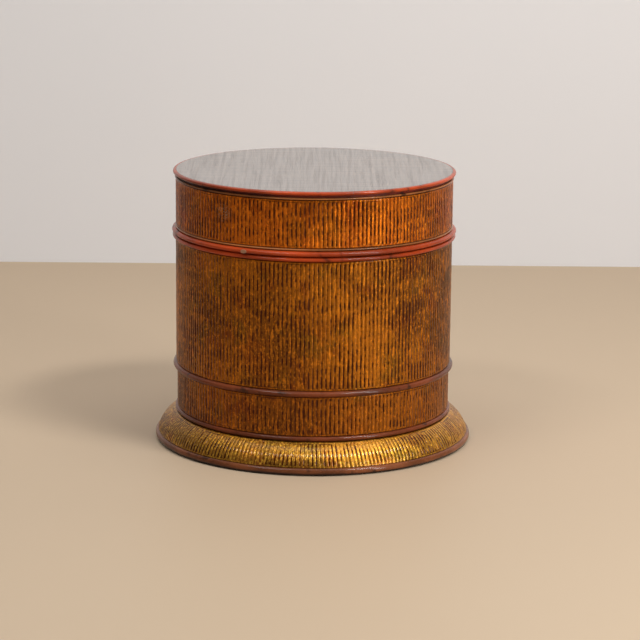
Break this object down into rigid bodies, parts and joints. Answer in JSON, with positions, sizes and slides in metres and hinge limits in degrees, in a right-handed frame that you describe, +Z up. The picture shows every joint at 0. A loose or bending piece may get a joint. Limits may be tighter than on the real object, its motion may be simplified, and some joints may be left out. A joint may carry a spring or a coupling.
{
  "type": "lacquer storage bin",
  "caption": "Round lacquered bamboo storage bin with ribbed walls, cane hoops, a flared ribbed foot and a deep lift-off lid.",
  "frame": {"origin": "on the floor under the middle of the bin", "axes": "+Z up along the middle of the bin, -Y towards the viewer of the picture"},
  "size_m": [0.588, 0.588, 0.5023],
  "materials": {
    "amber_weave": "gloss amber lacquer over split bamboo ribs",
    "gold_weave": "gloss gold-brown lacquer over split bamboo ribs",
    "red_cane": "gloss red-brown lacquered cane",
    "matting": "gloss lacquer over fine woven matting",
    "bare_bamboo": "satin dark lacquer over bent bamboo"
  },
  "bodies": {
    "bin": {"foot_rim_hoop": "red_cane", "foot_skirt": "gold_weave", "foot_core": "bare_bamboo", "foot_top_hoop": "red_cane", "bin_lower_wall": "gold_weave", "bin_mid_hoop": "red_cane", "bin_wall": "gold_weave", "bin_seam_hoop": "red_cane", "bin_core_band": "bare_bamboo", "bin_floor_board": "bare_bamboo", "floor_support_hoop": "bare_bamboo", "bin_collar": "bare_bamboo"},
    "lid": {"lid_seam_hoop": "red_cane", "lid_seam_fillet": "amber_weave", "lid_wall": "amber_weave", "lid_top_fillet": "amber_weave", "lid_core_band": "bare_bamboo", "lid_inner_hoop": "bare_bamboo", "lid_top_board": "bare_bamboo", "lid_top_mat": "matting", "lid_top_rim": "red_cane", "lid_hoop_lap": "red_cane"}
  },
  "joints": [
    {"name": "lid_lift", "type": "slide", "parent": "bin", "child": "lid", "axis": [0, 0, 1], "range_m": [0, 0.25]}
  ]
}
